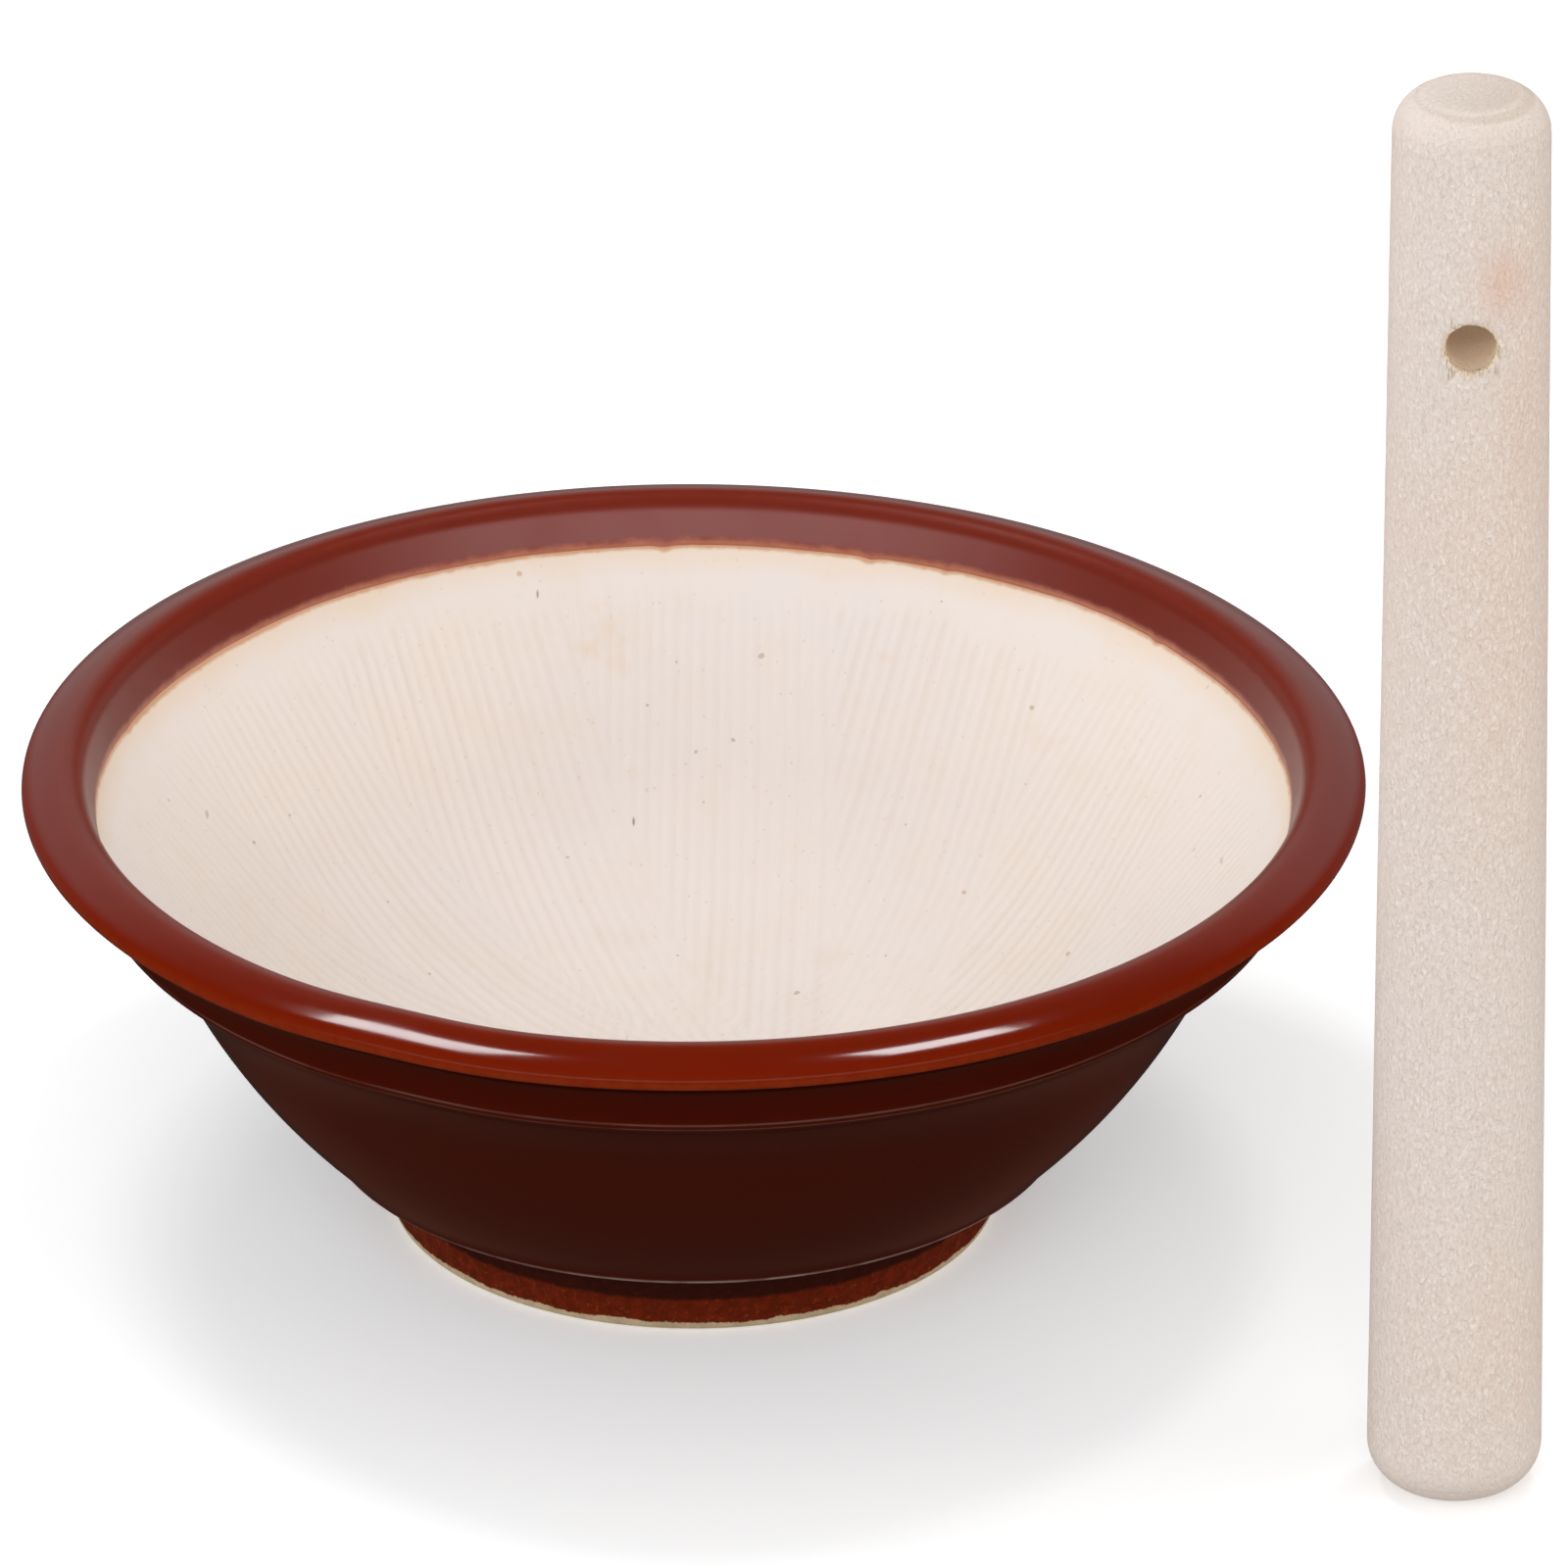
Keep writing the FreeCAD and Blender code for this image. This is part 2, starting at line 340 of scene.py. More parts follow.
class Nodes:
    """A node tree being put together."""

    def __init__(self, tree):
        self.tree = tree

    def node(self, kind, **facts):
        made = self.tree.nodes.new(kind)
        for key, value in facts.items():
            setattr(made, key, value)
        return made

    def feed(self, socket, value):
        if isinstance(value, bpy.types.NodeSocket):
            self.tree.links.new(value, socket)
        elif isinstance(value, (tuple, list)) and len(value) == 3 and socket.type == "RGBA":
            socket.default_value = (*value, 1)
        else:
            socket.default_value = value

    def noise(self, scale, detail=4, roughness=0.55, at=None, distortion=0.0):
        n = self.node("ShaderNodeTexNoise")
        self.feed(n.inputs["Vector"], at or self.place)
        n.inputs["Scale"].default_value = scale
        n.inputs["Detail"].default_value = detail
        n.inputs["Roughness"].default_value = roughness
        n.inputs["Distortion"].default_value = distortion
        return n.outputs["Fac"]

    def cells(self, scale, at=None):
        n = self.node("ShaderNodeTexVoronoi")
        self.feed(n.inputs["Vector"], at or self.place)
        n.inputs["Scale"].default_value = scale
        return n.outputs["Distance"], n.outputs["Color"]

    def ramp(self, value, low, high, to_low=0.0, to_high=1.0, smooth=True):
        n = self.node("ShaderNodeMapRange", interpolation_type="SMOOTHSTEP" if smooth else "LINEAR")
        self.feed(n.inputs["Value"], value)
        for key, number in (("From Min", low), ("From Max", high), ("To Min", to_low), ("To Max", to_high)):
            n.inputs[key].default_value = number
        return n.outputs["Result"]

    def math(self, operation, a, b=0.0):
        n = self.node("ShaderNodeMath", operation=operation)
        self.feed(n.inputs[0], a)
        self.feed(n.inputs[1], b)
        return n.outputs["Value"]

    def mix(self, share, a, b, blend="MIX"):
        n = self.node("ShaderNodeMix", data_type="RGBA", blend_type=blend)
        self.feed(n.inputs[0], share)
        self.feed(n.inputs[6], a)
        self.feed(n.inputs[7], b)
        return n.outputs[2]

    def stretched(self, scale, turn=(0, 0, 0), shift=(0, 0, 0)):
        n = self.node("ShaderNodeMapping")
        self.feed(n.inputs["Vector"], self.place)
        n.inputs["Scale"].default_value = scale
        n.inputs["Rotation"].default_value = turn
        n.inputs["Location"].default_value = shift
        return n.outputs["Vector"]

    def torn_place(self, scale, reach):
        """The place, pushed about a little by noise so that round spots come out ragged."""
        n = self.node("ShaderNodeTexNoise")
        self.feed(n.inputs["Vector"], self.place)
        n.inputs["Scale"].default_value = scale
        push = self.node("ShaderNodeVectorMath", operation="MULTIPLY_ADD")
        self.feed(push.inputs[0], n.outputs["Color"])
        push.inputs[1].default_value = (reach, reach, reach)
        self.feed(push.inputs[2], self.place)
        return push.outputs["Vector"]

    def parts_of_place(self):
        n = self.node("ShaderNodeSeparateXYZ")
        self.feed(n.inputs["Vector"], self.place)
        return n.outputs["X"], n.outputs["Y"], n.outputs["Z"]

    def marked(self, name):
        return self.node("ShaderNodeAttribute", attribute_name=name).outputs["Fac"]

    def bump(self, heights):
        """Stacks (height, metres it rises, strength) layers of relief."""
        normal = None
        for height, rise, strength in heights:
            n = self.node("ShaderNodeBump")
            n.inputs["Strength"].default_value = strength
            n.inputs["Distance"].default_value = rise
            self.feed(n.inputs["Height"], height)
            if normal:
                self.feed(n.inputs["Normal"], normal)
            normal = n.outputs["Normal"]
        self.feed(self.shader.inputs["Normal"], normal)

    def set(self, **sockets):
        for key, value in sockets.items():
            self.feed(self.shader.inputs[key.replace("_", " ")], value)


class Finish(Nodes):
    """A material being put together."""

    def __init__(self, name):
        self.material = bpy.data.materials.new(name)
        self.material.use_nodes = True
        super().__init__(self.material.node_tree)
        self.shader = self.tree.nodes["Principled BSDF"]
        self.place = self.node("ShaderNodeTexCoord").outputs["Object"]


def combed_cream_clay(cream):
    f = Finish("combed_cream_clay")
    edge = f.marked("from_glaze")
    groove = f.marked("groove")
    cloud = f.noise(14, 3)
    mottle = f.noise(95, 4)
    colour = f.mix(f.ramp(cloud, 0.35, 0.7), cream, tinted(cream, 0.965, 0.985, 1.02))
    colour = f.mix(f.ramp(mottle, 0.42, 0.72, 0, 0.35), colour, tinted(cream, 0.97, 0.93, 0.86))
    # darker and yellower down in the grooves, by their depth
    colour = f.mix(f.ramp(groove, 0.15, 1.0, 0, 0.24), colour, tinted(cream, 0.86, 0.80, 0.74))
    # straw-coloured stains, a few and soft-edged
    stain = f.math("MULTIPLY", f.ramp(f.noise(38, 5, 0.62), 0.60, 0.72), f.ramp(f.noise(9, 2), 0.45, 0.62))
    colour = f.mix(f.math("MULTIPLY", stain, 0.36), colour, (0.74, 0.52, 0.30))
    # iron specks and pits
    torn = f.torn_place(160, 2.2 * MM)
    distance, tint = f.cells(210, at=torn)
    size = f.ramp(f.noise(300, 2), 0.35, 0.65, 0.02, 0.11)
    speck = f.math("MULTIPLY", f.math("LESS_THAN", distance, size), f.ramp(tint, 0.60, 0.64))
    colour = f.mix(f.math("MULTIPLY", speck, 0.5), colour, (0.44, 0.24, 0.12))
    # short dark scratches, in a few places only
    drawn_out = f.stretched((1.0, 0.30, 0.30), turn=(0, 0.25, 0), shift=(0.03, 0.02, 0.05))
    distance, tint = f.cells(170, at=drawn_out)
    score = f.math("MULTIPLY", f.ramp(distance, 0.035, 0.06, 1, 0), f.ramp(tint, 0.66, 0.70))
    score = f.math("MULTIPLY", score, f.ramp(f.noise(40, 3), 0.48, 0.56))
    colour = f.mix(f.math("MULTIPLY", score, 0.75), colour, (0.30, 0.16, 0.08))
    distance, tint = f.cells(620, at=torn)
    dust = f.math("MULTIPLY", f.ramp(distance, 0.10, 0.22, 1, 0), f.ramp(tint, 0.66, 0.72))
    colour = f.mix(f.math("MULTIPLY", dust, 0.22), colour, (0.50, 0.36, 0.22))
    # the glaze fumes the clay beside its edge
    wander = f.ramp(f.noise(60, 4), 0, 1, -2.0 * MM, 2.0 * MM)
    halo = f.ramp(f.math("ADD", edge, wander), 0.2 * MM, 5.5 * MM, 1, 0)
    colour = f.mix(f.math("MULTIPLY", halo, 0.30), colour, (0.80, 0.55, 0.29))
    crumble = f.ramp(f.noise(500, 3), 0, 1, -0.3 * MM, 0.3 * MM)
    rust = f.ramp(f.math("ADD", edge, crumble), 0.1 * MM, 0.9 * MM, 1, 0)
    colour = f.mix(f.math("MULTIPLY", rust, 0.85), colour, (0.60, 0.30, 0.15))
    f.set(Base_Color=colour, Roughness=f.ramp(mottle, 0.3, 0.75, 0.58, 0.74))
    f.shader.inputs["IOR"].default_value = 1.45
    f.bump([
        (f.noise(900, 3, 0.6), 0.05 * MM, 0.5),
        (f.math("MULTIPLY", speck, -1.0), 0.12 * MM, 0.6),
        (mottle, 0.18 * MM, 0.35),
    ])
    return f.material


def washed_foot_clay(wash, tread):
    f = Finish("washed_foot_clay")
    z = f.parts_of_place()[2]
    rough = f.noise(420, 5, 0.65)
    line = f.math("ADD", z, f.ramp(f.noise(90, 6, 0.75), 0.2, 0.8, -0.6 * MM, 0.6 * MM))
    bare = f.ramp(line, 1.25 * MM, 1.6 * MM, 1, 0)
    worn = f.math("MULTIPLY", f.ramp(f.noise(1100, 4, 0.7), 0.55, 0.68), 0.5)
    wash_tone = f.mix(f.ramp(f.noise(620, 4), 0.35, 0.7), wash, tinted(wash, 1.5, 1.4, 1.3))
    wash_tone = f.mix(worn, wash_tone, (0.22, 0.050, 0.010))
    # painted shadow: the top of the foot, under the glaze's overhang, is darkened in its colour to stand for
    # the shade there
    wander = f.ramp(f.noise(200, 3), 0.2, 0.8, -0.3 * MM, 0.3 * MM)
    painted_shadow_band = f.ramp(f.math("ADD", z, wander), 5.5 * MM, 6.3 * MM)
    wash_tone = f.mix(f.math("MULTIPLY", painted_shadow_band, 0.85), wash_tone, (0.018, 0.0035, 0.0020))
    clay = f.mix(f.ramp(rough, 0.4, 0.65), tread, tinted(tread, 0.8, 0.8, 0.8))
    colour = f.mix(bare, wash_tone, clay)
    f.set(Base_Color=colour, Roughness=f.ramp(rough, 0.3, 0.7, 0.5, 0.85), Specular_IOR_Level=0.04)
    f.bump([(rough, 0.22 * MM, 0.8), (f.noise(1400, 3), 0.08 * MM, 0.6)])
    return f.material


def brown_glaze(brown, red, amber):
    f = Finish("brown_amber_glaze")
    lip = f.marked("lip")
    thin = f.marked("thin")
    edge = f.marked("from_edge")
    drift = f.noise(30, 4, 0.6)
    fine = f.noise(420, 4, 0.6)
    # Red on the lip, darker brown on the body: partly the glaze lying thinner on the lip, partly painted
    # shade, the downturned body darkened in its colour.
    colour = f.mix(lip, brown, red)
    warm = f.math("MULTIPLY", f.ramp(drift, 0.35, 0.75, 0, 0.22), lip)
    colour = f.mix(warm, colour, tinted(red, 1.2, 1.35, 1.3))
    thinness = f.math("MULTIPLY", thin, f.ramp(fine, 0.3, 0.7, 0.55, 1.0))
    colour = f.mix(f.math("MULTIPLY", thinness, 0.75), colour, amber)
    wander = f.ramp(fine, 0.2, 0.8, -0.25 * MM, 0.25 * MM)
    fringe = f.ramp(f.math("ADD", edge, wander), 0.15 * MM, 1.7 * MM, 1, 0)
    colour = f.mix(f.math("MULTIPLY", fringe, 0.8), colour, (0.52, 0.19, 0.115))
    # painted highlight: two fine pale lines along the ridge stand for light caught on it
    ridge, end = f.marked("from_ridge"), f.marked("from_end")
    for at, width, share in ((-0.55 * MM, 0.35 * MM, 0.16), (0.45 * MM, 0.35 * MM, 0.12)):
        ridge_glint = f.ramp(f.math("ABSOLUTE", f.math("SUBTRACT", ridge, at)), 0.0, width, 1, 0)
        ridge_glint = f.math("MULTIPLY", ridge_glint, f.ramp(drift, 0.40, 0.55, 0.25, 1.0))
        colour = f.mix(f.math("MULTIPLY", ridge_glint, share), colour, (0.42, 0.30, 0.27))
    # painted shade: the glaze under the rolled edge above the foot is darkened to stand for the shade there
    x = f.parts_of_place()[0]
    below = f.ramp(end, 2.3 * MM, 3.3 * MM, 1, 0)
    colour = f.mix(f.math("MULTIPLY", below, 0.8), colour, (0.020, 0.0035, 0.0022))
    # painted highlight: a pale line along the rolled edge stands for light caught on it, brighter towards
    # the right
    roll_glint = f.ramp(f.math("ABSOLUTE", f.math("SUBTRACT", end, 3.5 * MM)), 0.1 * MM, 0.75 * MM, 1, 0)
    roll_glint = f.math("MULTIPLY", roll_glint, f.ramp(x, -0.055, 0.01, 0.35, 1.0))
    roll_glint = f.math("MULTIPLY", roll_glint, f.ramp(f.noise(150, 3), 0.35, 0.6, 0.45, 1.0))
    colour = f.mix(f.math("MULTIPLY", roll_glint, 0.58), colour, (0.42, 0.33, 0.29))
    # pinholes where a bubble burst and shows the pale clay
    distance, tint = f.cells(210)
    pin = f.math("MULTIPLY", f.ramp(distance, 0.05, 0.09, 1, 0), f.ramp(tint, 0.93, 0.95))
    colour = f.mix(f.math("MULTIPLY", pin, 0.8), colour, (0.60, 0.42, 0.30))
    gloss = f.ramp(f.noise(55, 3), 0.35, 0.75, 0.085, 0.14)
    roughness = f.math("ADD", gloss, f.math("MULTIPLY", f.marked("satin"), 0.27))
    f.set(Base_Color=colour, Roughness=roughness, Specular_IOR_Level=f.marked("shine"))
    f.shader.inputs["IOR"].default_value = 1.52
    f.bump([
        (f.noise(75, 3, 0.5), 0.06 * MM, 0.35),
        (f.math("MULTIPLY", pin, -1.0), 0.15 * MM, 0.7),
    ])
    return f.material


def pale_turned_wood(wood):
    f = Finish("pale_turned_wood")
    grain = f.noise(1700, 3, 0.6, at=f.stretched((1, 1, 0.6)), distortion=0.6)
    fleck = f.noise(2100, 2, 0.6, at=f.stretched((1, 1, 0.45), shift=(0.3, 0.1, 0.2)))
    fibre = f.noise(2400, 3, 0.6, at=f.stretched((1, 1, 0.10)))
    band = f.noise(24, 3, 0.5, at=f.stretched((1, 1, 0.6)))
    end = f.marked("end_grain")
    colour = f.mix(f.ramp(band, 0.35, 0.7), wood, tinted(wood, 1.0, 0.945, 0.90))
    body = f.math("SUBTRACT", 1.0, f.math("MULTIPLY", end, 0.7))
    light = f.math("MULTIPLY", f.ramp(grain, 0.50, 0.60, 0, 0.8), body)
    colour = f.mix(light, colour, tinted(wood, 1.09, 1.11, 1.13))
    shade = f.math("MULTIPLY", f.ramp(fleck, 0.53, 0.59, 0, 0.50), body)
    colour = f.mix(shade, colour, tinted(wood, 0.88, 0.80, 0.74))
    colour = f.mix(f.ramp(fibre, 0.52, 0.72, 0, 0.12), colour, tinted(wood, 0.88, 0.82, 0.76))
    colour = f.mix(f.math("MULTIPLY", end, 0.5), colour, tinted(wood, 1.0, 0.985, 0.97))
    turning = f.noise(900, 2, 0.5, at=f.stretched((0.02, 0.02, 1)))
    colour = f.mix(f.math("MULTIPLY", end, f.ramp(turning, 0.5, 0.7, 0, 0.35)), colour, (0.55, 0.44, 0.34))
    # painted light: the hole's wall is coloured brighter and warmer than the wood, to stand for light coming
    # through the hole
    hole = f.marked("hole")
    colour = f.mix(hole, colour, (1.0, 0.81, 0.60))
    torn = f.marked("torn")
    shreds = f.noise(2600, 3, 0.7, at=f.stretched((1, 1, 0.12), shift=(0.1, 0.4, 0)))
    colour = f.mix(f.math("MULTIPLY", torn, 0.35), colour, (0.74, 0.60, 0.44))
    dark = f.math("MULTIPLY", torn, f.ramp(shreds, 0.52, 0.60))
    colour = f.mix(f.math("MULTIPLY", dark, 0.75), colour, (0.26, 0.16, 0.08))
    peach = f.marked("peach")
    colour = f.mix(f.math("MULTIPLY", peach, 0.62), colour, (0.80, 0.52, 0.40))
    f.set(Base_Color=colour, Roughness=f.ramp(fleck, 0.3, 0.7, 0.55, 0.72))
    f.shader.inputs["IOR"].default_value = 1.45
    f.bump([(grain, 0.62 * MM, 0.9), (fibre, 0.06 * MM, 0.5)])
    return f.material


# ---------------------------------------------------------------- the pieces


# The inner wall as a fine line: radius, height and the way up it from the middle, in metres.
WALL_LINE = section(CLAY_INSIDE, [0.5, 0.5, 0.5])
WALL_R = np.array([p[0] for p in WALL_LINE]) * MM
WALL_Z = np.array([p[1] for p in WALL_LINE]) * MM
WALL_UP = np.concatenate([[0], np.cumsum(np.hypot(np.diff(WALL_R), np.diff(WALL_Z)))])
GLAZE_EDGE_UP = WALL_UP[-1] / MM
UNCOMBED_FROM = GLAZE_EDGE_UP - 9.0


def inner_height(radius):
    return np.interp(radius, WALL_R, WALL_Z)


def up_the_wall(radius):
    """How far up the inner wall a radius lies, and on past the glaze edge in a straight line."""
    past = np.maximum(radius - WALL_R[-1], 0) / 0.615
    return np.interp(radius, WALL_R, WALL_UP) + past


def inward_normal(radius):
    slope_r = np.gradient(WALL_R, WALL_UP)
    slope_z = np.gradient(WALL_Z, WALL_UP)
    return -np.interp(radius, WALL_R, slope_z), np.interp(radius, WALL_R, slope_r)


def glaze_line(angle):
    """How far up (+) or down (-) the inner wall the glaze's edge strays from its mean line."""
    drift = ripple(
        angle, 11, [(2, 0.45), (3, 0.35), (5, 0.20), (9, 0.12), (17, 0.05), (31, 0.03), (58, 0.02)])
    rng = np.random.default_rng(12)
    for _ in range(14):
        at, deep, wide = rng.uniform(0, FULL_TURN), rng.uniform(-0.7, 0.2), rng.uniform(0.006, 0.016)
        away = np.angle(np.exp(1j * (angle - at)))
        drift += deep * np.exp(-((away / wide) ** 2))
    return drift * MM


def comb_height(x, y, settings):
    """Depth of the comb's grooves, latest stroke on top, from 0 on a ridge to 1 in a groove."""
    rng = np.random.default_rng(5)
    half = settings.teeth * settings.pitch / 2
    height = np.zeros_like(x)
    for k in range(settings.strokes):
        heading = math.radians(-104) + FULL_TURN * k / settings.strokes + rng.uniform(-0.035, 0.035)
        along = x * math.cos(heading) + y * math.sin(heading)
        across = -x * math.sin(heading) + y * math.cos(heading)
        across = across + 0.8 * MM * np.sin(along / (27 * MM) + rng.uniform(0, 6)) + rng.uniform(-1, 1) * MM
        tooth = 0.5 + 0.5 * np.cos(FULL_TURN * across / settings.pitch)
        press = 0.72 + 0.28 * np.sin(along / (19 * MM) + rng.uniform(0, 6))
        uneven = 1 + 0.25 * np.sin(across / settings.pitch * 2.3 + rng.uniform(0, 6))
        bite = tooth ** 1.25 * press * uneven
        inside = smoothstep(half, half - 0.5 * MM, np.abs(across)) * smoothstep(-3 * MM, 1 * MM, along)
        height = height * (1 - inside) + inside * (bite + 0.18 * height)
    return height


class BOWL_OT_stoneware(bpy.types.Operator):
    """Throws the stoneware bowl and combs its inside"""

    bl_idname = "grinding_bowl.stoneware"
    bl_label = "Stoneware Bowl"

    def execute(self, context):
        settings = context.scene.bowl_clay
        # the well in the middle and the unseen back need fewer facets than the combed wall
        join = (*CLAY_JOIN, 0, 0)
        well = [p for p in section(CLAY_INSIDE, INSIDE_STEPS) if p[0] <= WELL_RADIUS]
        wall = section([(*well[-1], 0, 0), *CLAY_INSIDE[2:], join], WALL_STEPS)[1:]
        back = section([join, *CLAY_OUTSIDE[1:]], BACK_STEPS)[1:]
        back += section(CLAY_FOOT, FOOT_STEPS)[1:]
        piece = throw("stoneware_bowl", well, COARSE_FACETS)
        others = [throw("combed_wall", wall, COMBED_FACETS), throw("bowl_back", back, COARSE_FACETS)]
        take_up(piece)
        for other in others:
            other.select_set(True)
        bpy.ops.object.join()
        self.close_ring(piece, well[-1], wall[0])
        self.close_ring(piece, wall[-1], back[0])
        face_outwards(piece)
        co = corners_of(piece)
        radius = np.hypot(co[:, 0], co[:, 1])
        angle = np.arctan2(co[:, 1], co[:, 0])
        inside = co[:, 2] > 12.99 * MM
        inside &= co[:, 2] > inner_height(radius) - 0.3 * MM
        top = glaze_line(angle)
        # where the combing fades out below the glaze
        up = up_the_wall(radius)
        stops = ripple(angle, 21, [(13, 0.9), (26, 0.5), (61, 0.6), (120, 0.5)])
        fade = 1 - smoothstep(-1.2 * MM, 1.2 * MM, up - (UNCOMBED_FROM * MM + stops * MM))
        groove = comb_height(co[:, 0], co[:, 1], settings) * fade * inside
        lean = inward_normal(radius)
        outward = np.stack([co[:, 0], co[:, 1]], 1) / np.maximum(radius, 1e-9)[:, None]
        cut = settings.depth * (groove - 0.28 * fade * inside)
        co[:, :2] -= outward * (lean[0] * cut)[:, None]
        co[:, 2] -= lean[1] * cut
        set_corners(piece, thrown_unevenness(co))
        mark(piece, "groove", groove)
        mark(piece, "from_glaze", np.where(inside, GLAZE_EDGE_UP * MM + top - up, 1.0))
        piece.data.materials.append(combed_cream_clay(tuple(settings.cream)))
        piece.data.materials.append(washed_foot_clay(tuple(settings.foot_wash), tuple(settings.tread)))
        height = np.array([p.center.z for p in piece.data.polygons])
        reach = np.array([math.hypot(p.center.x, p.center.y) for p in piece.data.polygons])
        # the foot and what little shows beside the glaze's lower edge carry the wash; its upper part is
        # painted dark as shadow under the glaze's overhang
        beside_glaze = (height < 14 * MM) & (reach > 54 * MM) & (reach < 62 * MM)
        foot_face = (height < 12.85 * MM) | beside_glaze
        piece.data.polygons.foreach_set("material_index", foot_face.astype(np.int32))
        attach(piece, "mortar")
        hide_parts("mortar_bowl")
        return {"FINISHED"}

    def close_ring(self, piece, *rings):
        """Bridges two neighbouring rings of the bowl, each given by its radius and height."""
        take_up(piece)
        bpy.ops.object.mode_set(mode="EDIT")
        bpy.ops.mesh.select_mode(type="EDGE")
        bpy.ops.mesh.select_all(action="DESELECT")
        bpy.ops.object.mode_set(mode="OBJECT")

        def on_a_ring(co):
            radius = math.hypot(co.x, co.y)
            return any(math.hypot(radius - r * MM, co.z - z * MM) < 0.05 * MM for r, z in rings)

        made = bmesh.new()
        made.from_mesh(piece.data)
        for edge in made.edges:
            if edge.is_boundary and all(on_a_ring(v.co) for v in edge.verts):
                edge.select_set(True)
        made.select_flush_mode()
        made.to_mesh(piece.data)
        made.free()
        bpy.ops.object.mode_set(mode="EDIT")
        bpy.ops.mesh.bridge_edge_loops()
        bpy.ops.object.mode_set(mode="OBJECT")


class BOWL_OT_glaze(bpy.types.Operator):
    """Pours the brown glaze over the lip and the outside of the bowl"""

    bl_idname = "grinding_bowl.glaze"
    bl_label = "Brown Glaze"

    def execute(self, context):
        settings = context.scene.bowl_glaze
        line = section(CLAY_OUTSIDE, GLAZE_STEPS)
        # closer rows where the glaze ends, for its rolled bead
        closing = line[-3:]
        line = line[:-2]
        for here, there in zip(closing, closing[1:]):
            line += [tuple(a + (b - a) * t for a, b in zip(here, there)) for t in BEAD_ROWS]
        line = np.array(line)
        along = np.concatenate([[0], np.cumsum(np.hypot(*np.diff(line, axis=0).T))])
        tangent = np.gradient(line, along, axis=0)
        tangent /= np.hypot(*tangent.T)[:, None]
        normal = np.stack([-tangent[:, 1], tangent[:, 0]], 1)
        # the section runs up, over and down, so the glaze side is on its left
        end = along[-1] - along
        coat = settings.coat / MM
        thick = coat * self.rounded(along / EDGE_ROLL)
        thick = thick + BEAD_RISE * np.exp(-((end - BEAD_AT) / BEAD_WIDTH) ** 2)
        thick *= self.rounded(end / END_ROLL)
        outer = line + normal * thick[:, None]
        under = line[::-1][::3] - normal[::-1][::3] * UNDER_GLAZE
        points = [tuple(p) for p in outer] + [tuple(p) for p in under]
        points.append(points[0])
        piece = throw("glaze_coat", points, GLAZE_FACETS)
        face_outwards(piece)
        co = corners_of(piece)
        radius = np.hypot(co[:, 0], co[:, 1])
        angle = np.arctan2(co[:, 1], co[:, 0])
        ring = np.array(points[:-1])
        near = np.empty(len(co), dtype=int)
        for start in range(0, len(co), 20000):
            part = slice(start, start + 20000)
            gap = (radius[part, None] / MM - ring[:, 0]) ** 2 + (co[part, 2, None] / MM - ring[:, 1]) ** 2
            near[part] = gap.argmin(1)
        where = np.concatenate([along, along[::-1][::3]])[near]
        # the inner edge wanders along the wall
        lead = np.exp(-((where / 2.6) ** 2)) * glaze_line(angle)
        self.shift_along(co, angle, line[1] - line[0], lead)
        # the lower bead hangs unevenly
        sag = np.exp(-(((along[-1] - where) / 3.0) ** 2)) * ripple(
            angle, 31, [(2, 0.3), (5, 0.25), (11, 0.14), (23, 0.08)]) * MM
        self.shift_along(co, angle, line[-1] - line[-2], sag)
        set_corners(piece, thrown_unevenness(co))
        crest, nose, ridge = [
            along[np.argmin(np.hypot(line[:, 0] - r, line[:, 1] - z))] for r, z in GLAZE_PLACES.values()]
        # the glaze runs thin over the crest, the nose and the ridge
        thin = (0.16 * np.exp(-(((where - crest) / 2.6) ** 2))
                + 0.5 * np.exp(-(((where - nose) / 1.1) ** 2))
                + 0.05 * np.exp(-(((where - ridge) / 0.5) ** 2)))
        mark(piece, "thin", thin)
        # the lip keeps its lighter red down to just under the nose; the darker body below it is partly
        # painted shade
        mark(piece, "lip", 1 - smoothstep(nose - 0.8, nose + 1.8, where))
        mark(piece, "satin", 1 - smoothstep(crest - 1.0, crest + 2.0, where))
        # it mirrors less under the lip, down to the ridge, and on the crest's inner side
        shine = 0.5 - 0.44 * smoothstep(nose - 3.4, nose - 1.8, where)
        shine += 0.44 * smoothstep(ridge + 4, ridge + 12, where)
        shine -= 0.40 * np.exp(-(((where - crest + 0.75) / 0.9) ** 2))
        mark(piece, "shine", shine)
        mark(piece, "from_edge", where * MM)
        mark(piece, "from_ridge", (where - ridge) * MM)
        mark(piece, "from_end", (along[-1] - where) * MM)
        colours = [tuple(colour) for colour in (settings.brown, settings.red, settings.amber)]
        piece.data.materials.append(brown_glaze(*colours))
        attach(piece, "mortar")
        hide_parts("mortar_glaze")
        return {"FINISHED"}

    def rounded(self, share):
        """A quarter circle's rise from 0 at an edge to 1."""
        share = np.clip(share, 0, 1)
        return np.sqrt(share * (2 - share))

    def shift_along(self, co, angle, run, distance):
        """Slides corners along a run of the section by a distance of their own."""
        run = run / np.hypot(*run)
        co[:, 0] += np.cos(angle) * run[0] * distance
        co[:, 1] += np.sin(angle) * run[0] * distance
        co[:, 2] += run[1] * distance


